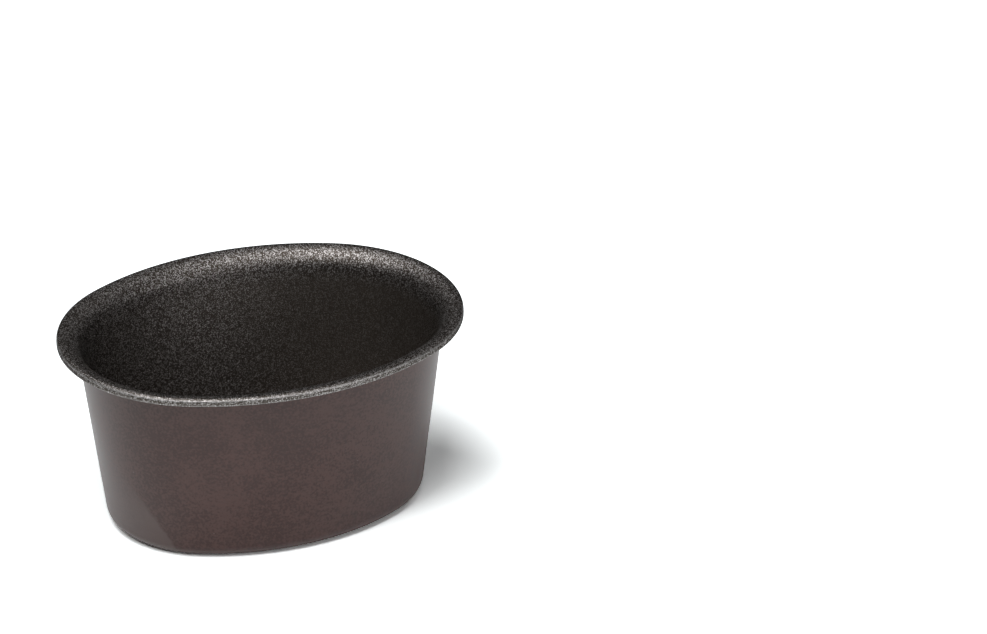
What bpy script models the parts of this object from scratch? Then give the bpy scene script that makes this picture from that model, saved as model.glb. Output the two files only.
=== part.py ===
"""Oval aspic mould: a cup pressed from one steel sheet, with a baked coat on each side.

The origin is the centre of the flat base, on the surface that the mould stands on. X runs along
the oval's length, Y across it and Z up. Sizes are in metres, and angles in degrees.

Each layer of the mould is the same open surface, a section swept round an oval, laid at its own
depth in the sheet and thickened with Solidify.
"""

import math

import bmesh
import bpy
from mathutils import Vector

# Overall sizes, over the coats, and the angle from X at which the oval's arcs meet
RIM_LENGTH = 0.082
RIM_WIDTH = 0.064
HEIGHT = 0.040
ARC_MEET_ANGLE = 62.0

# Section of the wall and the lip. Each bend is given by its tighter face, over the coats.
WALL_DRAFT = 7.25
BASE_BEND_RADIUS = 0.00255
FLARE_BEND_RADIUS = 0.0034
LIP_BEND_RADIUS = 0.0002
LIP_SKIRT = 0.0006

# Layers, from the inside of the mould to the outside
LINING_THICKNESS = 0.00005
STEEL_THICKNESS = 0.00045
LACQUER_THICKNESS = 0.00004
COAT_CLEARANCE = 0.00003

# Facets along each stretch of the oval and of the section
END_SEGMENTS = 20
SIDE_SEGMENTS = 12
BASE_BEND_SEGMENTS = 5
FLARE_BEND_SEGMENTS = 6
LIP_BEND_SEGMENTS = 4
SMOOTH_BELOW = 40.0

# Depth below the inner face at which each layer starts, and of the outer face
LINING_DEPTH = 0.0
STEEL_DEPTH = LINING_DEPTH + LINING_THICKNESS + COAT_CLEARANCE
LACQUER_DEPTH = STEEL_DEPTH + STEEL_THICKNESS + COAT_CLEARANCE
FULL_DEPTH = LACQUER_DEPTH + LACQUER_THICKNESS


def arc(centre, radius, start, end, segments):
    """Return the points of an arc about centre, from start to end in degrees."""
    angles = (start + (end - start) * step / segments for step in range(segments + 1))
    return [
        (
            centre[0] + radius * math.cos(math.radians(angle)),
            centre[1] + radius * math.sin(math.radians(angle)),
        )
        for angle in angles
    ]


def rim_oval():
    """Return the outline of the rim: two end arcs and two flatter side arcs that meet smoothly."""
    half_length = RIM_LENGTH / 2
    half_width = RIM_WIDTH / 2
    meet = math.radians(ARC_MEET_ANGLE)
    end_centre = (half_length - half_width) / (1 - (1 - math.sin(meet)) / math.cos(meet))
    side_centre = -end_centre * math.tan(meet)
    end_radius = half_length - end_centre
    side_radius = half_width - side_centre
    right = arc((end_centre, 0), end_radius, -ARC_MEET_ANGLE, ARC_MEET_ANGLE, END_SEGMENTS)
    back = arc((0, side_centre), side_radius, ARC_MEET_ANGLE, 180 - ARC_MEET_ANGLE, SIDE_SEGMENTS)
    half = right[:-1] + back[:-1]
    return half + [(-x, -y) for x, y in half]


def inner_section():
    """Return the section of the mould's inner face, from the flat of the base to the cut edge.

    Each point is how far it lies outside the rim's outline, which is negative, and its height.
    """
    lip_radius = LIP_BEND_RADIUS + FULL_DEPTH
    flare_radius = FLARE_BEND_RADIUS + FULL_DEPTH
    draft = math.radians(WALL_DRAFT)
    lip_centre = (-lip_radius, HEIGHT - lip_radius)
    flare_centre = (-lip_radius, HEIGHT - flare_radius)
    base_centre_height = FULL_DEPTH + BASE_BEND_RADIUS
    wall_rise = flare_centre[1] - base_centre_height
    wall_run = (BASE_BEND_RADIUS + flare_radius + wall_rise * math.sin(draft)) / math.cos(draft)
    base_centre = (flare_centre[0] - wall_run, base_centre_height)
    base_flat = (base_centre[0] - BASE_BEND_RADIUS, FULL_DEPTH)
    base_bend = arc(base_centre, BASE_BEND_RADIUS, -90, -WALL_DRAFT, BASE_BEND_SEGMENTS)
    flare_bend = arc(flare_centre, flare_radius, 180 - WALL_DRAFT, 90, FLARE_BEND_SEGMENTS)
    lip_bend = arc(lip_centre, lip_radius, 90, 0, LIP_BEND_SEGMENTS)
    cut_edge = (0, lip_centre[1] - LIP_SKIRT)
    return [base_flat, *base_bend, *flare_bend, *lip_bend[1:], cut_edge]


def section(depth):
    """Return the section at a depth below the inner face, with every facet moved by that depth."""
    points = [Vector(point) for point in inner_section()]
    directions = [(after - before).normalized() for before, after in zip(points, points[1:])]
    befores = [directions[0], *directions]
    afters = [*directions, directions[-1]]
    moved = []
    for point, before, after in zip(points, befores, afters):
        along = (before + after).normalized()
        outwards = Vector((along.y, -along.x))
        moved.append(point + outwards * depth / along.dot(before))
    return moved


def poly_curve(name, points, closed):
    """Return a curve object through points in its own XY plane."""
    curve = bpy.data.curves.new(name, "CURVE")
    curve.dimensions = "3D"
    curve.twist_mode = "Z_UP"
    spline = curve.splines.new("POLY")
    spline.points.add(len(points) - 1)
    for point, (x, y) in zip(spline.points, points):
        point.co = (x, y, 0, 1)
    spline.use_cyclic_u = closed
    guide = bpy.data.objects.new(name, curve)
    bpy.context.scene.collection.objects.link(guide)
    return guide


def swept_mesh(name, depth):
    """Return the mesh of the section at a depth, swept round the rim's outline."""
    path = poly_curve(f"{name}_path", rim_oval(), closed=True)
    profile = poly_curve(f"{name}_section", section(depth), closed=False)
    path.data.bevel_mode = "OBJECT"
    path.data.bevel_object = profile
    bpy.context.view_layer.update()
    depsgraph = bpy.context.evaluated_depsgraph_get()
    mesh = bpy.data.meshes.new_from_object(path.evaluated_get(depsgraph), depsgraph=depsgraph)
    mesh.name = name
    for guide in (path, profile):
        bpy.data.curves.remove(guide.data)
    return mesh


def close_base(mesh):
    """Fill the hole in the base with one flat face, and turn every face towards the inside."""
    bm = bmesh.new()
    bm.from_mesh(mesh)
    open_edges = [edge for edge in bm.edges if edge.is_boundary]
    base_edges = [edge for edge in open_edges if edge.verts[0].co.z < HEIGHT / 2]
    base = bmesh.ops.edgeloop_fill(bm, edges=base_edges)["faces"][0]
    bmesh.ops.recalc_face_normals(bm, faces=bm.faces)
    if base.normal.z < 0:
        bmesh.ops.reverse_faces(bm, faces=bm.faces)
    bm.to_mesh(mesh)
    bm.free()


def surface_material(name, colour, roughness, metallic):
    """Return a Principled BSDF material."""
    material = bpy.data.materials.new(name)
    material.use_nodes = True
    shader = material.node_tree.nodes["Principled BSDF"]
    shader.inputs["Base Color"].default_value = (*colour, 1)
    shader.inputs["Roughness"].default_value = roughness
    shader.inputs["Metallic"].default_value = metallic
    material.diffuse_color = (*colour, 1)
    return material


def layer(name, depth, thickness, material, collection, parent):
    """Add one layer of the mould, a closed shell that fills thickness from depth downwards."""
    mesh = swept_mesh(name, depth)
    close_base(mesh)
    mesh.shade_smooth()
    mesh.set_sharp_from_angle(angle=math.radians(SMOOTH_BELOW))
    mesh.materials.append(material)
    shell = bpy.data.objects.new(name, mesh)
    shell.parent = parent
    collection.objects.link(shell)
    solidify = shell.modifiers.new("Thickness", "SOLIDIFY")
    solidify.thickness = thickness
    solidify.offset = -1
    solidify.use_even_offset = True
    return shell


def steel_shell(collection, parent):
    """Add the pressed steel sheet, bare only at the cut edge of the lip."""
    material = surface_material(
        "bare_steel", colour=(0.32, 0.31, 0.30), roughness=0.40, metallic=1.0
    )
    return layer("steel_shell", STEEL_DEPTH, STEEL_THICKNESS, material, collection, parent)


def nonstick_lining(collection, parent):
    """Add the dark speckled non-stick coat, which runs over the lip to the cut edge."""
    material = surface_material(
        "nonstick_coat", colour=(0.030, 0.027, 0.026), roughness=0.45, metallic=0.2
    )
    return layer("nonstick_lining", LINING_DEPTH, LINING_THICKNESS, material, collection, parent)


def outer_lacquer(collection, parent):
    """Add the smooth brown coat on the base, the wall and the underside of the lip."""
    material = surface_material(
        "brown_lacquer", colour=(0.064, 0.042, 0.038), roughness=0.35, metallic=0.3
    )
    return layer("outer_lacquer", LACQUER_DEPTH, LACQUER_THICKNESS, material, collection, parent)


def clear_scene():
    """Remove the objects of the scene that the script is run in."""
    for item in list(bpy.data.objects):
        bpy.data.objects.remove(item, do_unlink=True)


def main():
    """Build the mould in a collection of its own, its layers parented to an empty at the origin."""
    clear_scene()
    collection = bpy.data.collections.new("oval_aspic_mould")
    bpy.context.scene.collection.children.link(collection)
    origin = bpy.data.objects.new("mould_origin", None)
    origin.empty_display_size = HEIGHT
    collection.objects.link(origin)
    nonstick_lining(collection, origin)
    steel_shell(collection, origin)
    outer_lacquer(collection, origin)


if __name__ == "__main__":
    main()
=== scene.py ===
"""Visual model of a small oval aspic mould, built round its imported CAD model.

The mould is one cup pressed from sheet steel, with a granular non-stick coat inside and over the
lip, and a smooth brown lacquer outside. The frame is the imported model's: X along the oval, Y
across it, Z up, metres, and the base stands on Z = 0.
"""

import logging
import math
from dataclasses import dataclass
from enum import Enum
from typing import Mapping, Optional, Union

import bmesh
import bpy
from mathutils import Matrix, Vector

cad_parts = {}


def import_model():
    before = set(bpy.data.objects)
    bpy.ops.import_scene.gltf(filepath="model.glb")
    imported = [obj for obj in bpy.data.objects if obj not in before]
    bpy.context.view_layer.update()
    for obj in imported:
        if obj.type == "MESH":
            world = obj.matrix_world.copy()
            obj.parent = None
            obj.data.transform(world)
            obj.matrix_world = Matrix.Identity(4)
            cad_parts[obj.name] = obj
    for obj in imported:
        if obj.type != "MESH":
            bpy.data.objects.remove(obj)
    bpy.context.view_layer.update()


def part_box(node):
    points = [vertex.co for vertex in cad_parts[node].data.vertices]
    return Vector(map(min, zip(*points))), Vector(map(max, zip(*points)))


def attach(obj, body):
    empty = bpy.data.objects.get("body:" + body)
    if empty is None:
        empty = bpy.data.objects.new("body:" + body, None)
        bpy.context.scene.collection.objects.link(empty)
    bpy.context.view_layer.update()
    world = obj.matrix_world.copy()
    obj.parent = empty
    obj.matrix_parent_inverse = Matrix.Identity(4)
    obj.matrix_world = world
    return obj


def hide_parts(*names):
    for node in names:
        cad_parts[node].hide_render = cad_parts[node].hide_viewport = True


LOG = logging.getLogger("oval_aspic_mould")
MILLIMETRE = 0.001
MICRON = 0.000001
# The middle of the values that a noise pattern takes
NOISE_MIDDLE = 0.5
# The sheet's attribute that is 1 at the lip's cut edge, and how far along the section it falls to 0
EDGE_NEARNESS = "edge_nearness"
EDGE_REACH = 4.0 * MILLIMETRE


class Layer(Enum):
    """The layers of the sheet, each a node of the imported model."""

    LINING = "nonstick_lining"
    STEEL = "steel_shell"
    LACQUER = "outer_lacquer"


class Maths(Enum):
    """What a Math node works out."""

    ADD = "ADD"
    SUBTRACT = "SUBTRACT"
    MULTIPLY = "MULTIPLY"
    DIVIDE = "DIVIDE"
    ABSOLUTE = "ABSOLUTE"
    SIGN = "SIGN"
    SINE = "SINE"
    COSINE = "COSINE"
    TANGENT = "TANGENT"
    LESS_THAN = "LESS_THAN"
    MAXIMUM = "MAXIMUM"


class Kind(Enum):
    """The types of node that the trees use."""

    MATHS = "ShaderNodeMath"
    COMBINE = "ShaderNodeCombineXYZ"
    SEPARATE = "ShaderNodeSeparateXYZ"
    COORDINATES = "ShaderNodeTexCoord"
    MAPPING = "ShaderNodeMapping"
    NOISE = "ShaderNodeTexNoise"
    GRAINS = "ShaderNodeTexVoronoi"
    MAP_RANGE = "ShaderNodeMapRange"
    MIX = "ShaderNodeMix"
    BUMP = "ShaderNodeBump"
    PRINCIPLED = "ShaderNodeBsdfPrincipled"
    SURFACE_OUT = "ShaderNodeOutputMaterial"
    WORLD_OUT = "ShaderNodeOutputWorld"
    BACKGROUND = "ShaderNodeBackground"
    LIGHT_PATH = "ShaderNodeLightPath"
    GROUP_IN = "NodeGroupInput"
    GROUP_OUT = "NodeGroupOutput"
    INDEX = "GeometryNodeInputIndex"
    INDEX_SWITCH = "GeometryNodeIndexSwitch"
    CIRCLE = "GeometryNodeCurvePrimitiveCircle"
    MESH_LINE = "GeometryNodeMeshLine"
    MESH_TO_CURVE = "GeometryNodeMeshToCurve"
    SET_POSITION = "GeometryNodeSetPosition"
    SET_NORMAL = "GeometryNodeSetCurveNormal"
    FILLET = "GeometryNodeFilletCurve"
    SWEEP = "GeometryNodeCurveToMesh"
    FILL = "GeometryNodeFillCurve"
    JOIN = "GeometryNodeJoinGeometry"
    MERGE = "GeometryNodeMergeByDistance"
    SPLINE_LENGTH = "GeometryNodeSplineLength"
    SPLINE_PLACE = "GeometryNodeSplineParameter"
    KEEP = "GeometryNodeStoreNamedAttribute"
    ATTRIBUTE = "ShaderNodeAttribute"
    REALIZE = "GeometryNodeRealizeInstances"
    SET_MATERIAL = "GeometryNodeSetMaterial"


class Wire:
    """A node's output, on which Python's arithmetic adds Math nodes."""

    def __init__(self, graph: "Graph", socket: bpy.types.NodeSocket) -> None:
        """Hold the socket and the graph that it belongs to."""
        self.graph = graph
        self.socket = socket

    def maths(self, operation: Maths, *others: "Value") -> "Wire":
        """Return the operation on this value and the others."""
        return self.graph.maths(operation, self, *others)

    def __add__(self, other: "Value") -> "Wire":
        """Return self + other."""
        return self.maths(Maths.ADD, other)

    def __radd__(self, other: float) -> "Wire":
        """Return other + self."""
        return self.graph.maths(Maths.ADD, other, self)

    def __sub__(self, other: "Value") -> "Wire":
        """Return self - other."""
        return self.maths(Maths.SUBTRACT, other)

    def __rsub__(self, other: float) -> "Wire":
        """Return other - self."""
        return self.graph.maths(Maths.SUBTRACT, other, self)

    def __mul__(self, other: "Value") -> "Wire":
        """Return self * other."""
        return self.maths(Maths.MULTIPLY, other)

    def __rmul__(self, other: float) -> "Wire":
        """Return other * self."""
        return self.graph.maths(Maths.MULTIPLY, other, self)

    def __truediv__(self, other: "Value") -> "Wire":
        """Return self / other."""
        return self.maths(Maths.DIVIDE, other)

    def __rtruediv__(self, other: float) -> "Wire":
        """Return other / self."""
        return self.graph.maths(Maths.DIVIDE, other, self)

    def __neg__(self) -> "Wire":
        """Return -self."""
        return self.maths(Maths.MULTIPLY, -1.0)

    def __abs__(self) -> "Wire":
        """Return the absolute value."""
        return self.maths(Maths.ABSOLUTE)

    def __lt__(self, other: "Value") -> "Wire":
        """Return 1 where self < other, else 0."""
        return self.maths(Maths.LESS_THAN, other)

    def chosen(self, when_one: "Value", when_zero: "Value") -> "Wire":
        """Return when_one where this mask is 1 and when_zero where it is 0."""
        return self * when_one + (1 - self) * when_zero


Value = Union[Wire, float]
Colour = tuple[float, float, float]


class Graph:
    """Adds nodes and links to one tree."""

    def __init__(self, tree: bpy.types.NodeTree) -> None:
        """Take over a tree and empty it."""
        self.tree = tree
        tree.nodes.clear()

    def node(
        self,
        kind: Kind,
        settings: Optional[Mapping[str, object]] = None,
        sockets: Optional[Mapping[str, object]] = None,
    ) -> bpy.types.Node:
        """Add a node.

        Args:
            kind: The type of node.
            settings: Its properties, set before its sockets. The setting items is the number of
                entries of an index switch.
            sockets: Values or wires, by the identifier of the socket.

        Returns:
            The node.
        """
        node = self.tree.nodes.new(kind.value)
        for name, value in (settings or {}).items():
            if name == "items":
                while len(node.index_switch_items) < value:
                    node.index_switch_items.new()
            else:
                setattr(node, name, value)
        inputs = {socket.identifier: socket for socket in node.inputs}
        for identifier, value in (sockets or {}).items():
            wires = value if isinstance(value, list) else [value]
            for wire in wires:
                if isinstance(wire, Wire):
                    self.tree.links.new(wire.socket, inputs[identifier])
                else:
                    inputs[identifier].default_value = wire
        return node

    def wire(
        self,
        kind: Kind,
        output: str,
        settings: Optional[Mapping[str, object]] = None,
        sockets: Optional[Mapping[str, object]] = None,
    ) -> Wire:
        """Add a node and return one of its outputs.

        Args:
            kind: The type of node.
            output: The identifier of the output.
            settings: The node's properties.
            sockets: Values or wires, by the identifier of the socket.

        Returns:
            The output.
        """
        node = self.node(kind, settings, sockets)
        return Wire(self, next(s for s in node.outputs if s.identifier == output))

    def maths(self, operation: Maths, *values: Value) -> Wire:
        """Return the operation on one value or two.

        Args:
            operation: What is worked out.
            values: Numbers or wires, in the node's order.

        Returns:
            The result.
        """
        sockets = dict(zip(("Value", "Value_001"), values))
        return self.wire(Kind.MATHS, "Value", {"operation": operation.value}, sockets)


class SurfaceGraph(Graph):
    """The shader tree of one material."""

    def __init__(self, name: str) -> None:
        """Start a new material.

        Args:
            name: The material's name.
        """
        self.material = bpy.data.materials.new(name)
        self.material.use_nodes = True
        super().__init__(self.material.node_tree)

    def place(self) -> Wire:
        """Return the place on the piece, in metres from the mould's origin."""
        return self.wire(Kind.COORDINATES, "Object")

    def axis(self, place: Wire, letter: str) -> Wire:
        """Return a place's X, Y or Z."""
        return self.wire(Kind.SEPARATE, letter, {}, {"Vector": place})

    def from_edge(self) -> Wire:
        """Return the distance from the lip's cut edge, along the section, up to EDGE_REACH."""
        nearness = self.wire(Kind.ATTRIBUTE, "Fac", {"attribute_name": EDGE_NEARNESS})
        return (1 - nearness) * EDGE_REACH

    def stretched(self, place: Wire, scale: tuple[float, float, float]) -> Wire:
        """Return a place stretched by a factor on each axis."""
        return self.wire(Kind.MAPPING, "Vector", {}, {"Vector": place, "Scale": scale})

    def noise(self, place: Wire, size: float, detail: float = 2.0, roughness: float = 0.5) -> Wire:
        """Return a soft random pattern.

        Args:
            place: Where it is read.
            size: Width of its largest spots, in the units of the place.
            detail: How many finer patterns are laid over it.
            roughness: How strong these are.

        Returns:
            Values about 0.5, mostly from 0.3 to 0.7.
        """
        sockets = {"Vector": place, "Scale": 1 / size, "Detail": detail, "Roughness": roughness}
        return self.wire(Kind.NOISE, "Fac", {}, sockets)

    def grains(self, place: Wire, size: float) -> tuple[Wire, Wire]:
        """Return a pattern of close-packed grains.

        Args:
            place: Where it is read.
            size: Width of a grain, in the units of the place.

        Returns:
            The distance to the middle of the grain, in grain widths, and a shade from 0 to 1 that
            differs from grain to grain.
        """
        node = self.node(Kind.GRAINS, {}, {"Vector": place, "Scale": 1 / size})
        return Wire(self, node.outputs["Distance"]), Wire(self, node.outputs["Color"])

    def rise(
        self,
        value: Wire,
        start: float,
        end: float,
        low: float = 0.0,
        high: float = 1.0,
    ) -> Wire:
        """Return a smooth rise between two values.

        Args:
            value: What the rise follows.
            start: Where it starts.
            end: Where it ends.
            low: The result before start.
            high: The result after end.

        Returns:
            The rise.
        """
        sockets = {
            "Value": value,
            "From Min": start,
            "From Max": end,
            "To Min": low,
            "To Max": high,
        }
        settings = {"interpolation_type": "SMOOTHSTEP"}
        return self.wire(Kind.MAP_RANGE, "Result", settings, sockets)

    def fall(self, value: Wire, start: float, end: float) -> Wire:
        """Return a smooth fall from 1 at start to 0 at end."""
        return self.rise(value, start, end, low=1.0, high=0.0)

    def blend(self, share: Value, first: "Colour | Wire", second: "Colour | Wire") -> Wire:
        """Mix two colours.

        Args:
            share: The second colour's share, held between 0 and 1.
            first: The colour where the share is 0.
            second: The colour where the share is 1.

        Returns:
            The mix.
        """
        sockets = {
            "Factor_Float": share,
            "A_Color": first if isinstance(first, Wire) else (*first, 1.0),
            "B_Color": second if isinstance(second, Wire) else (*second, 1.0),
        }
        return self.wire(Kind.MIX, "Result_Color", {"data_type": "RGBA"}, sockets)

    def relief(self, height: Wire, depth: float) -> Wire:
        """Return the normal of a relief, from its height in parts of its depth."""
        return self.wire(Kind.BUMP, "Normal", {}, {"Height": height, "Distance": depth})

    def finished(self, sockets: Mapping[str, object]) -> bpy.types.Material:
        """Close the tree with a Principled shader.

        Args:
            sockets: The shader's values or wires, by the identifier of the socket.

        Returns:
            The material.
        """
        shader = self.wire(Kind.PRINCIPLED, "BSDF", {}, sockets)
        self.node(Kind.SURFACE_OUT, {}, {"Surface": shader})
        return self.material


@dataclass(frozen=True)
class GranularCoat:
    """Dark non-stick coat whose raised grain glitters where the light catches it.

    The grain is painted brighter on the flare as a highlight. On the wall alone it fades to a
    smoother finish at the +X end, painted darker and warmer there as shade. The lip has a painted
    highlight, also less rough, along a line outside its crest, and is worn lighter at the cut edge.
    """

    ground: Colour = (0.068, 0.057, 0.049)
    glint: Colour = (0.60, 0.576, 0.567)
    # The next colour is the wall's smoother finish, painted darker and warmer as shade
    smooth: Colour = (0.170, 0.146, 0.124)
    grazing_tint: Colour = (0.0, 0.0, 0.0)
    metallic: float = 0.85
    roughness: float = 0.37
    grain_size: float = 0.16 * MILLIMETRE
    grain_height: float = 44 * MICRON
    # Grains below this shade, of 0 to 1, show the bare ground
    dull_grains: float = 0.50
    # The mottle, with how far it changes the grain's height and the roughness
    mottle_size: float = 1.8 * MILLIMETRE
    mottle_height: float = 0.5
    mottle_roughness: float = 0.10
    # The line of painted highlight, also less rough, by its distance from the cut edge and its
    # reach to either side
    crest: float = 1.05 * MILLIMETRE
    crest_reach: float = 0.32 * MILLIMETRE
    crest_highlight: float = 1.45
    crest_polish: float = 0.05
    # The worn cut edge
    worn_edge: float = 0.28 * MILLIMETRE
    worn_glint: float = 0.30
    # The wall starts between the first two heights and gives way to the flare between the others
    wall_foot: float = 2 * MILLIMETRE
    wall_full: float = 9 * MILLIMETRE
    flare_foot: float = 33 * MILLIMETRE
    flare_full: float = 37 * MILLIMETRE
    # The flare's grain, painted brighter as a highlight, is full where it is farther than this from
    # the cut edge
    flare_edge: float = 2.1 * MILLIMETRE
    flare_highlight_gain: float = 0.40
    # The wall's smoother finish, painted darker and warmer as shade, comes in between these two
    # places along X
    smooth_shade_start: float = -4 * MILLIMETRE
    smooth_shade_full: float = 26 * MILLIMETRE
    smooth_shade_share: float = 0.62
    smooth_relief: float = 0.4

    def material(self, name: str) -> bpy.types.Material:
        """Make the coat.

        Args:
            name: The material's name.

        Returns:
            The material.
        """
        graph = SurfaceGraph(name)
        place = graph.place()
        from_edge = graph.from_edge()
        along, height = graph.axis(place, "X"), graph.axis(place, "Z")
        distance, shade = graph.grains(place, self.grain_size)
        mottle = graph.noise(place, self.mottle_size)
        polish_and_highlight = graph.fall(abs(from_edge - self.crest), 0.0, self.crest_reach)
        wear = graph.fall(from_edge, 0.0, self.worn_edge)
        above = graph.rise(height, self.flare_foot, self.flare_full)
        # The flare's grain is painted brighter, a painted highlight
        painted_flare_highlight = above * graph.rise(from_edge, self.crest + self.crest_reach, self.flare_edge)
        wall = graph.rise(height, self.wall_foot, self.wall_full) - above
        # Towards the +X end the wall's grain is smoother, and painted darker and warmer as shade
        smoothed_and_shaded = graph.rise(along, self.smooth_shade_start, self.smooth_shade_full) * wall * self.smooth_shade_share
        grain_wear_and_highlights = graph.rise(shade, self.dull_grains, 1.0) * (1 + painted_flare_highlight * self.flare_highlight_gain)
        # The line outside the crest is a painted highlight; the cut edge is lighter from wear
        grain_wear_and_highlights = grain_wear_and_highlights + polish_and_highlight * shade * self.crest_highlight + wear * self.worn_glint
        colour = graph.blend(grain_wear_and_highlights, self.ground, self.glint)
        relief = (mottle * self.mottle_height - distance) * (1 - smoothed_and_shaded * self.smooth_relief)
        uneven = (mottle - NOISE_MIDDLE) * self.mottle_roughness
        return graph.finished(
            {
                "Base Color": graph.blend(smoothed_and_shaded, colour, self.smooth),
                "Metallic": self.metallic,
                "Specular Tint": (*self.grazing_tint, 1.0),
                "Roughness": self.roughness + uneven - polish_and_highlight * self.crest_polish,
                "Normal": graph.relief(relief, self.grain_height),
            }
        )


@dataclass(frozen=True)
class BrownLacquer:
    """Smooth brown lacquer with a satin gloss, cloudy from the baking, with a painted reflection at
    one end.
    """

    colour: Colour = (0.035, 0.0073, 0.0045)
    pale_colour: Colour = (0.0695, 0.0270, 0.0215)
    # The next colour is that of the painted reflection
    painted_reflection_colour: Colour = (0.084, 0.0500, 0.0440)
    speck_colour: Colour = (0.130, 0.0950, 0.0850)
    roughness: float = 0.29
    pale_roughness: float = 0.35
    # Three patterns laid over each other, by their size and their strength
    cloud_size: float = 11 * MILLIMETRE
    cloud_share: float = 0.42
    blotch_size: float = 2.6 * MILLIMETRE
    blotch_share: float = 0.30
    dust_size: float = 0.5 * MILLIMETRE
    dust_share: float = 0.68
    # How many times wider than high the blotches are
    blotch_spread: float = 1.7
    # The unevenness between which the colour pales, and between which the gloss falls
    pale_start: float = 0.38
    pale_full: float = 0.62
    rough_start: float = 0.36
    rough_full: float = 0.64
    # The paler patch, a painted reflection, lies where the height plus X times the slope is under
    # the limit
    reflection_slope: float = 1.9
    reflection_limit: float = -45.8 * MILLIMETRE
    reflection_blur: float = 0.8 * MILLIMETRE
    reflection_raggedness: float = 3.0 * MILLIMETRE
    # It fades out between these two heights, and from this Y to the long axis
    reflection_full: float = 6.75 * MILLIMETRE
    reflection_top: float = 18.9 * MILLIMETRE
    reflection_front: float = -13.5 * MILLIMETRE
    reflection_strength: float = 0.7
    reflection_mottle: float = 0.7
    # A speck's solid middle and its rim, in parts of the spacing
    speck_spacing: float = 2.2 * MILLIMETRE
    speck_core: float = 0.03
    speck_rim: float = 0.07
    # Specks under the first shade, of 0 to 1, don't show, and those over the second are full
    speck_faintest: float = 0.5
    speck_boldest: float = 0.9

    def material(self, name: str) -> bpy.types.Material:
        """Make the lacquer.

        Args:
            name: The material's name.

        Returns:
            The material.
        """
        graph = SurfaceGraph(name)
        place = graph.place()
        clouds = graph.noise(place, self.cloud_size)
        flat = graph.stretched(place, (1.0, 1.0, self.blotch_spread))
        blotches = graph.noise(flat, self.blotch_size, detail=3.0, roughness=0.6)
        dust = graph.noise(place, self.dust_size, detail=1.0)
        layered = clouds * self.cloud_share + blotches * self.blotch_share + dust * self.dust_share
        # The layers together are brought back to the middle of a single pattern
        shares = self.cloud_share + self.blotch_share + self.dust_share
        uneven = layered - (shares - 1) * NOISE_MIDDLE
        pale = graph.rise(uneven, self.pale_start, self.pale_full)
        along, across, height = (graph.axis(place, letter) for letter in "XYZ")
        # A painted reflection: a paler, ragged patch low on the front of the -X end
        ragged = (blotches - NOISE_MIDDLE) * self.reflection_raggedness
        reach = height + along * self.reflection_slope + ragged
        reflection_patch = graph.fall(
            reach, self.reflection_limit - self.reflection_blur, self.reflection_limit + self.reflection_blur
        )
        low = graph.fall(height, self.reflection_full, self.reflection_top)
        front = graph.fall(across, self.reflection_front, 0.0)
        painted_reflection = reflection_patch * low * front * (self.reflection_strength + blotches * self.reflection_mottle)
        distance, shade = graph.grains(place, self.speck_spacing)
        bold = graph.rise(shade, self.speck_faintest, self.speck_boldest)
        specks = graph.fall(distance, self.speck_core, self.speck_rim) * bold
        colour = graph.blend(pale, self.colour, self.pale_colour)
        # The painted reflection is blended over the lacquer's colour
        colour = graph.blend(painted_reflection, colour, self.painted_reflection_colour)
        return graph.finished(
            {
                "Base Color": graph.blend(specks, colour, self.speck_colour),
                "Roughness": graph.rise(
                    uneven,
                    self.rough_start,
                    self.rough_full,
                    low=self.roughness,
                    high=self.pale_roughness,
                ),
            }
        )


@dataclass(frozen=True)
class BareSteel:
    """Bare sheet steel, with the fine upright marks of the trimming tool on its cut edge."""

    colour: Colour = (0.34, 0.33, 0.32)
    roughness: float = 0.33
    mark_size: float = 0.12 * MILLIMETRE
    # How many times higher than wide the marks are
    mark_squeeze: float = 10.0
    # How much of the colour is left in the darkest mark
    mark_shade: float = 0.6
    mark_roughness: float = 0.2
    mark_depth: float = 6 * MICRON

    def material(self, name: str) -> bpy.types.Material:
        """Make the steel.

        Args:
            name: The material's name.

        Returns:
            The material.
        """
        graph = SurfaceGraph(name)
        drawn_out = graph.stretched(graph.place(), (1.0, 1.0, 1 / self.mark_squeeze))
        marks = graph.noise(drawn_out, self.mark_size, detail=3.0)
        dark = tuple(part * self.mark_shade for part in self.colour)
        return graph.finished(
            {
                "Base Color": graph.blend(marks, dark, self.colour),
                "Metallic": 1.0,
                "Roughness": self.roughness + marks * self.mark_roughness,
                "Normal": graph.relief(marks, self.mark_depth),
            }
        )


Finish = Union[GranularCoat, BrownLacquer, BareSteel]


@dataclass(frozen=True)
class RimOutline:
    """The rim seen from above: two end arcs and two flatter side arcs that meet smoothly.

    The meet angle is how far from X the arcs meet, as seen from the end arc's centre.
    """

    length: float
    width: float
    meet_angle: float = math.radians(62.0)
    points: int = 360

    def inputs(self) -> dict[str, float]:
        """Return the outline's sizes by the names of the tree's inputs."""
        return {
            "Rim length": self.length,
            "Rim width": self.width,
            "Arc meet angle": self.meet_angle,
            "Outline points": self.points,
        }


@dataclass(frozen=True)
class SheetSection:
    """The sheet cut through: the base, the tapered wall, the flare and the turned-down lip.

    A bend's radius is that of its tighter face, over the coats. Each bend has so many facets.
    """

    height: float
    sheet_depth: float = 0.6 * MILLIMETRE
    wall_draft: float = math.radians(7.25)
    base_bend: float = 2.55 * MILLIMETRE
    flare_bend: float = 3.4 * MILLIMETRE
    lip_bend: float = 0.2 * MILLIMETRE
    lip_skirt: float = 0.6 * MILLIMETRE
    base_facets: int = 12
    flare_facets: int = 20
    lip_facets: int = 12

    def inputs(self) -> dict[str, float]:
        """Return the section's sizes by the names of the tree's inputs."""
        return {
            "Height": self.height,
            "Sheet depth": self.sheet_depth,
            "Wall draft": self.wall_draft,
            "Base bend": self.base_bend,
            "Flare bend": self.flare_bend,
            "Lip bend": self.lip_bend,
            "Lip skirt": self.lip_skirt,
            "Base facets": self.base_facets,
            "Flare facets": self.flare_facets,
            "Lip facets": self.lip_facets,
        }


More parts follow.
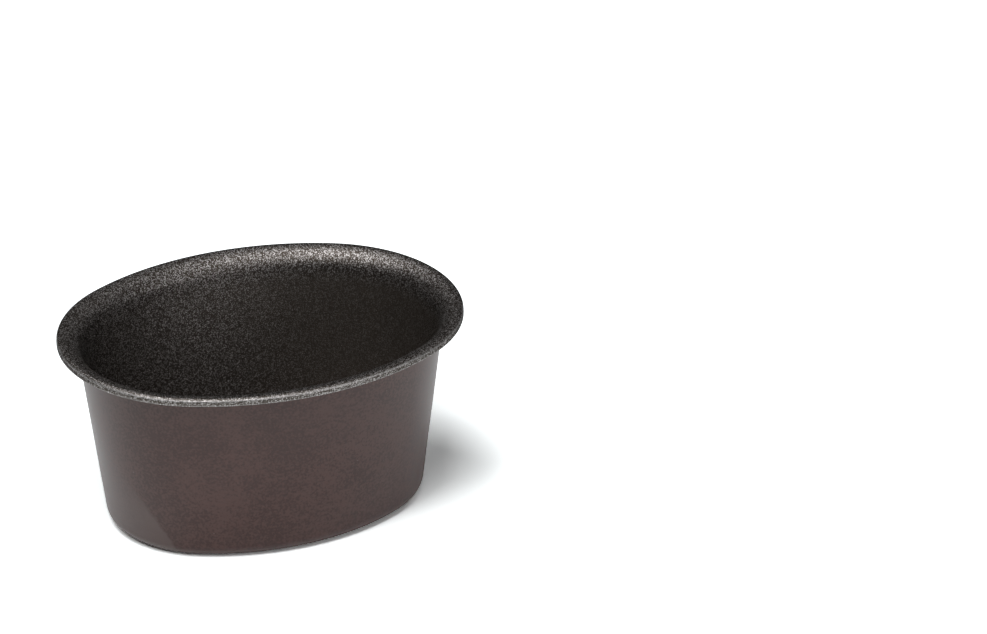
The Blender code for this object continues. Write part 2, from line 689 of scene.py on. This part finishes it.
class SheetTree(Graph):
    """Geometry Nodes tree that presses one face of the sheet, at a depth below its inner face.

    The face's section is swept round the rim's outline, and a flat patch closes the base. Every
    face of the mesh points to the inside of the mould.
    """

    LENGTHS = (
        "Rim length",
        "Rim width",
        "Height",
        "Sheet depth",
        "Layer depth",
        "Base bend",
        "Flare bend",
        "Lip bend",
        "Lip skirt",
    )
    ANGLES = ("Arc meet angle", "Wall draft")
    COUNTS = ("Outline points", "Base facets", "Flare facets", "Lip facets")
    MARGIN = 1.0 * MILLIMETRE
    WELD = 1.0 * MICRON

    def __init__(self) -> None:
        """Build the tree."""
        super().__init__(bpy.data.node_groups.new("pressed_sheet", "GeometryNodeTree"))
        self.identifiers: dict[str, str] = {}
        for name in self.LENGTHS + self.ANGLES:
            self._declare(name, "NodeSocketFloat")
        for name in self.COUNTS:
            self._declare(name, "NodeSocketInt")
        self._declare("Finish", "NodeSocketMaterial")
        self.tree.interface.new_socket(
            name="Sheet", in_out="OUTPUT", socket_type="NodeSocketGeometry"
        )
        self.entry = self.node(Kind.GROUP_IN)
        self._build()

    def _declare(self, name: str, socket_type: str) -> None:
        """Add a named input and keep its identifier."""
        socket = self.tree.interface.new_socket(name=name, in_out="INPUT", socket_type=socket_type)
        self.identifiers[name] = socket.identifier

    def given(self, name: str) -> Wire:
        """Return the input of that name."""
        return Wire(self, self.entry.outputs[name])

    def set_inputs(self, modifier: bpy.types.Modifier, values: Mapping[str, object]) -> None:
        """Set the tree's inputs on a modifier, by the identifiers of their sockets."""
        for name, value in values.items():
            modifier[self.identifiers[name]] = value

    def _outline(self, outset: Value) -> Wire:
        """Return the rim's outline as a closed curve at height zero.

        Args:
            outset: How far the curve lies outside the outline, negative inside it.

        Returns:
            The curve, its first point on X and its points evenly turned.
        """
        meet = self.given("Arc meet angle")
        meet_sine, meet_cosine = meet.maths(Maths.SINE), meet.maths(Maths.COSINE)
        half_length = self.given("Rim length") / 2
        half_width = self.given("Rim width") / 2
        end_centre = (half_length - half_width) / (1 - (1 - meet_sine) / meet_cosine)
        side_centre = end_centre * meet.maths(Maths.TANGENT)
        end_radius = half_length - end_centre + outset
        side_radius = half_width + side_centre + outset
        turn = self.wire(Kind.INDEX, "Index") * math.tau / self.given("Outline points")
        cosine, sine = turn.maths(Maths.COSINE), turn.maths(Maths.SINE)
        on_end = abs(sine) < meet_sine
        end_x = cosine.maths(Maths.SIGN) * end_centre + end_radius * cosine
        side_y = side_radius * sine - sine.maths(Maths.SIGN) * side_centre
        point = {
            "X": on_end.chosen(end_x, side_radius * cosine),
            "Y": on_end.chosen(end_radius * sine, side_y),
        }
        circle = self.wire(
            Kind.CIRCLE, "Curve", {"mode": "RADIUS"}, {"Resolution": self.given("Outline points")}
        )
        placed = {"Geometry": circle, "Position": self.wire(Kind.COMBINE, "Vector", {}, point)}
        curve = self.wire(Kind.SET_POSITION, "Geometry", {}, placed)
        return self.wire(Kind.SET_NORMAL, "Curve", {"mode": "Z_UP"}, {"Curve": curve})

    def _per_corner(self, data_type: str, values: list[object]) -> Wire:
        """Return a different value at each corner of the section.

        Args:
            data_type: FLOAT, INT or VECTOR.
            values: The values in the corners' order.

        Returns:
            The value, which follows the index of the point.
        """
        sockets = {f"Item_{number}": value for number, value in enumerate(values)}
        sockets["Index"] = self.wire(Kind.INDEX, "Index")
        settings = {"data_type": data_type, "items": len(values)}
        return self.wire(Kind.INDEX_SWITCH, "Output", settings, sockets)

    def _section(self, corners: list[tuple[Value, Value]], bends: list[Value]) -> Wire:
        """Return the face's section as an open curve.

        Args:
            corners: How far each corner of the unbent section lies outside the rim's outline,
                and its height.
            bends: The bend radius at each corner.

        Returns:
            The curve, with heights on its -Y, which the sweep turns upwards.
        """
        points = [
            self.wire(Kind.COMBINE, "Vector", {}, {"X": outset, "Y": -height})
            for outset, height in corners
        ]
        line = self.wire(
            Kind.MESH_LINE, "Mesh", {}, {"Count": len(corners), "Offset": (self.MARGIN, 0.0, 0.0)}
        )
        curve = self.wire(Kind.MESH_TO_CURVE, "Curve", {}, {"Mesh": line})
        placed = {"Geometry": curve, "Position": self._per_corner("VECTOR", points)}
        curve = self.wire(Kind.SET_POSITION, "Geometry", {}, placed)
        # The two ends of the section aren't bent, so each takes one facet
        facets = [1, *(self.given(name) for name in self.COUNTS[1:]), 1]
        bent = {
            "Curve": curve,
            "Radius": self._per_corner("FLOAT", bends),
            "Count": self._per_corner("INT", facets),
        }
        curve = self.wire(Kind.FILLET, "Curve", {"mode": "POLY"}, bent)
        from_edge = self.wire(Kind.SPLINE_LENGTH, "Length") - self.wire(Kind.SPLINE_PLACE, "Length")
        nearness = (1 - from_edge / EDGE_REACH).maths(Maths.MAXIMUM, 0.0)
        kept = {"Geometry": curve, "Name": EDGE_NEARNESS, "Value": nearness}
        return self.wire(Kind.KEEP, "Geometry", {"data_type": "FLOAT", "domain": "POINT"}, kept)

    def _build(self) -> None:
        """Add the nodes from the inputs to the finished sheet."""
        depth, sheet = self.given("Layer depth"), self.given("Sheet depth")
        height, draft = self.given("Height"), self.given("Wall draft")
        draft_sine, draft_cosine = draft.maths(Maths.SINE), draft.maths(Maths.COSINE)
        flare_radius = self.given("Flare bend") + sheet
        lip_radius = self.given("Lip bend") + sheet
        flare_centre = height - flare_radius
        base_level, crest_level = sheet - depth, height - depth

        def wall(level: Value) -> Wire:
            """Return how far outside the outline the wall's line passes a height."""
            rise = (level - flare_centre) * draft_sine
            return (rise - flare_radius + depth) / draft_cosine - lip_radius

        base_corner, flare_corner = wall(base_level), wall(crest_level)
        base_edge = base_corner - self.given("Base bend") - depth - self.MARGIN
        corners = [
            (base_edge, base_level),
            (base_corner, base_level),
            (flare_corner, crest_level),
            (-depth, crest_level),
            (-depth, height - lip_radius - self.given("Lip skirt")),
        ]
        bends = [
            0.0,
            self.given("Base bend") + depth,
            flare_radius - depth,
            lip_radius - depth,
            0.0,
        ]
        swept = self.wire(
            Kind.SWEEP,
            "Mesh",
            {},
            {"Curve": self._outline(0.0), "Profile Curve": self._section(corners, bends)},
        )
        patch = self.wire(Kind.FILL, "Mesh", {"mode": "NGONS"}, {"Curve": self._outline(base_edge)})
        lift = self.wire(Kind.COMBINE, "Vector", {}, {"Z": base_level})
        patch = self.wire(Kind.SET_POSITION, "Geometry", {}, {"Geometry": patch, "Offset": lift})
        joined = self.wire(Kind.JOIN, "Geometry", {}, {"Geometry": [swept, patch]})
        welded = self.wire(Kind.MERGE, "Geometry", {}, {"Geometry": joined, "Distance": self.WELD})
        realized = self.wire(Kind.REALIZE, "Geometry", {}, {"Geometry": welded})
        finished = self.wire(
            Kind.SET_MATERIAL,
            "Geometry",
            {},
            {"Geometry": realized, "Material": self.given("Finish")},
        )
        out = self.node(Kind.GROUP_OUT)
        self.tree.links.new(finished.socket, out.inputs["Sheet"])


@dataclass(frozen=True)
class SheetLayer:
    """One layer of the sheet: where it starts below the inner face, and how thick it is."""

    layer: Layer
    piece: str
    slot: str
    depth: float
    thickness: float
    finish: Finish


@dataclass(frozen=True)
class PressedMould:
    """The mould: one steel pressing with a baked coat on each side."""

    outline: RimOutline
    section: SheetSection
    layers: tuple[SheetLayer, ...]
    smooth_below: float = math.radians(40.0)

    def build(self) -> list[bpy.types.Object]:
        """Build every layer.

        Returns:
            The pieces, from the inside of the mould to the outside.
        """
        tree = SheetTree()
        return [self._shell(tree, layer) for layer in self.layers]

    def _shell(self, tree: SheetTree, layer: SheetLayer) -> bpy.types.Object:
        """Build one layer as a closed shell and fit it over its node.

        Args:
            tree: The tree that presses the sheet.
            layer: The layer.

        Returns:
            The piece.
        """
        material = layer.finish.material(layer.slot)
        shell = bpy.data.objects.new(layer.piece, bpy.data.meshes.new(layer.piece))
        bpy.context.scene.collection.objects.link(shell)
        pressing = shell.modifiers.new("Pressing", "NODES")
        pressing.node_group = tree.tree
        tree.set_inputs(pressing, self.outline.inputs())
        tree.set_inputs(pressing, self.section.inputs())
        tree.set_inputs(pressing, {"Layer depth": layer.depth, "Finish": material})
        thickening = shell.modifiers.new("Thickness", "SOLIDIFY")
        thickening.thickness = layer.thickness
        # The thickness lies behind the face, away from the inside of the mould
        thickening.offset = -1
        thickening.use_even_offset = True
        bpy.context.view_layer.update()
        depsgraph = bpy.context.evaluated_depsgraph_get()
        mesh = bpy.data.meshes.new_from_object(shell.evaluated_get(depsgraph), depsgraph=depsgraph)
        shell.modifiers.clear()
        shell.data = mesh
        mesh.name = layer.piece
        mesh.shade_smooth()
        mesh.set_sharp_from_angle(angle=self.smooth_below)
        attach(shell, "root")
        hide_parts(layer.layer.value)
        return shell


@dataclass(frozen=True)
class Softbox:
    """A soft rectangular lamp that points at the mould.

    Azimuth is from X towards Y and elevation from the floor, in degrees. The level is the share
    of a surface's own colour that the lamp alone gives it when it faces the lamp.
    """

    name: str
    azimuth: float
    elevation: float
    level: float
    width: float = 0.36
    height: float = 0.45
    distance: float = 1.0

    def place(self, target: Vector) -> bpy.types.Object:
        """Add the lamp to the scene.

        Args:
            target: The point that it is turned to.

        Returns:
            The lamp.
        """
        around, up = math.radians(self.azimuth), math.radians(self.elevation)
        outwards = Vector(
            (math.cos(around) * math.cos(up), math.sin(around) * math.cos(up), math.sin(up))
        )
        light = bpy.data.lights.new(self.name, "AREA")
        light.shape = "RECTANGLE"
        light.size = self.width
        light.size_y = self.height
        light.energy = self.level * (math.pi * self.distance) ** 2
        lamp = bpy.data.objects.new(self.name, light)
        lamp.matrix_world = Matrix.Translation(target + outwards * self.distance) @ (
            outwards.to_track_quat("Z", "Y").to_matrix().to_4x4()
        )
        lamp.visible_camera = False
        bpy.context.scene.collection.objects.link(lamp)
        return lamp


@dataclass(frozen=True)
class Studio:
    """The pale table that curves up at its far edge, the lamps and the dim room round them."""

    softboxes: tuple[Softbox, ...]
    room_level: float = 0.03
    table_colour: Colour = (0.945, 0.98, 0.985)
    table_burn: float = 2.15
    mirrored_burn: float = 1.35
    table_radius: float = 3.2
    cove_radius: float = 0.5
    table_points: int = 128
    cove_points: int = 12

    def build(self, target: Vector) -> None:
        """Add the table, the lamps and the room's light.

        Args:
            target: The point that the lamps are turned to.
        """
        self._table()
        for softbox in self.softboxes:
            softbox.place(target)
        self._room()

    def _table(self) -> bpy.types.Object:
        """Add the table, a disc whose edge curves up into a low backdrop.

        Returns:
            The table.
        """
        rings = [(self.table_radius, 0.0)]
        for step in range(1, self.cove_points + 1):
            lean = math.pi / 2 * step / self.cove_points
            reach = self.table_radius + self.cove_radius * math.sin(lean)
            rings.append((reach, self.cove_radius * (1 - math.cos(lean))))
        turns = [math.tau * point / self.table_points for point in range(self.table_points)]
        bm = bmesh.new()
        loops = [
            [
                bm.verts.new((radius * math.cos(turn), radius * math.sin(turn), height))
                for turn in turns
            ]
            for radius, height in rings
        ]
        bm.faces.new(loops[0])
        for inner, outer in zip(loops, loops[1:]):
            for point in range(self.table_points):
                after = (point + 1) % self.table_points
                bm.faces.new((inner[point], outer[point], outer[after], inner[after]))
        mesh = bpy.data.meshes.new("studio_table")
        bm.to_mesh(mesh)
        bm.free()
        mesh.shade_smooth()
        mesh.materials.append(self._table_finish())
        table = bpy.data.objects.new("studio_table", mesh)
        bpy.context.scene.collection.objects.link(table)
        return table

    def _table_finish(self) -> bpy.types.Material:
        """Make the table's pale finish, which the camera sees burnt out and mirrors see white.

        Returns:
            The material.
        """
        graph = SurfaceGraph("studio_table")
        path = graph.node(Kind.LIGHT_PATH)
        mirrored = Wire(graph, path.outputs["Is Glossy Ray"]).maths(
            Maths.MAXIMUM, Wire(graph, path.outputs["Is Transmission Ray"])
        )
        burnt = tuple(part * self.table_burn for part in self.table_colour)
        white = tuple(part * self.mirrored_burn for part in self.table_colour)
        colour = graph.blend(mirrored, self.table_colour, white)
        colour = graph.blend(Wire(graph, path.outputs["Is Camera Ray"]), colour, burnt)
        return graph.finished({"Base Color": colour, "Roughness": 1.0, "Specular IOR Level": 0.0})

    def _room(self) -> None:
        """Light the scene from all round, at a low level."""
        world = bpy.data.worlds.new("studio_room")
        world.use_nodes = True
        bpy.context.scene.world = world
        graph = Graph(world.node_tree)
        light = graph.wire(
            Kind.BACKGROUND,
            "Background",
            {},
            {"Color": (1.0, 1.0, 1.0, 1.0), "Strength": self.room_level},
        )
        graph.node(Kind.WORLD_OUT, {}, {"Surface": light})


@dataclass(frozen=True)
class StudioCamera:
    """The camera that took the picture, by where it stood and the point of the table it faced."""

    position: tuple[float, float, float] = (-0.39548, -1.04048, 0.61676)
    aim: tuple[float, float, float] = (0.07251, 0.05277, 0.0)
    roll: float = math.radians(-0.531)
    lens: float = 231.83
    sensor_width: float = 36.0
    nearest: float = 0.05
    farthest: float = 50.0

    def build(self) -> bpy.types.Object:
        """Add the camera and make it the scene's.

        Returns:
            The camera.
        """
        data = bpy.data.cameras.new("studio_camera")
        data.lens = self.lens
        data.sensor_width = self.sensor_width
        data.sensor_fit = "HORIZONTAL"
        data.clip_start = self.nearest
        data.clip_end = self.farthest
        camera = bpy.data.objects.new("studio_camera", data)
        position = Vector(self.position)
        back = (position - Vector(self.aim)).normalized()
        right = Vector((0, 0, 1)).cross(back).normalized()
        turned = Matrix((right, back.cross(right), back)).transposed().to_4x4()
        roll = Matrix.Rotation(self.roll, 4, "Z")
        camera.matrix_world = Matrix.Translation(position) @ turned @ roll
        bpy.context.scene.collection.objects.link(camera)
        bpy.context.scene.camera = camera
        return camera


def sheet_layers() -> tuple[SheetLayer, ...]:
    """Stack the layers of the sheet, with a little room between neighbours.

    Returns:
        The lining, the steel and the lacquer.
    """
    lining, lacquer = GranularCoat(), BrownLacquer()
    coat, steel, paint = 0.05 * MILLIMETRE, 0.45 * MILLIMETRE, 0.04 * MILLIMETRE
    room = 0.03 * MILLIMETRE
    steel_depth = coat + room
    paint_depth = steel_depth + steel + room
    return (
        SheetLayer(Layer.LINING, "granular_lining", "nonstick_coat", 0.0, coat, lining),
        SheetLayer(Layer.STEEL, "pressed_steel", "bare_steel", steel_depth, steel, BareSteel()),
        SheetLayer(Layer.LACQUER, "brown_coat", "brown_lacquer", paint_depth, paint, lacquer),
    )


def softboxes() -> tuple[Softbox, ...]:
    """Set out the studio's lamps.

    Returns:
        The lamps, the key lamp first.
    """
    return (
        Softbox("key_softbox", azimuth=240.0, elevation=69.0, level=0.41),
        Softbox("left_softbox", azimuth=210.0, elevation=51.0, level=0.22, width=0.30, height=0.36),
        Softbox("back_softbox", azimuth=134.0, elevation=68.0, level=0.26),
        Softbox("front_softbox", azimuth=290.0, elevation=22.0, level=0.19),
        Softbox("right_softbox", azimuth=10.0, elevation=47.0, level=0.04, height=0.36),
    )


def main() -> None:
    """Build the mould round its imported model, then the studio."""
    logging.basicConfig(level=logging.INFO, format="%(name)s: %(message)s")
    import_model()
    low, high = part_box(Layer.LINING.value)
    outer_low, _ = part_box(Layer.LACQUER.value)
    mould = PressedMould(
        outline=RimOutline(length=high.x - low.x, width=high.y - low.y),
        section=SheetSection(height=high.z - outer_low.z),
        layers=sheet_layers(),
    )
    for piece in mould.build():
        LOG.info("%s: %d faces", piece.name, len(piece.data.polygons))
    studio = Studio(softboxes=softboxes())
    studio.build(target=Vector((0.0, 0.0, high.z / 2)))
    StudioCamera().build()
    bpy.context.scene.view_settings.view_transform = "Standard"
    LOG.info("studio and camera are in place")


if __name__ == "__main__":
    main()
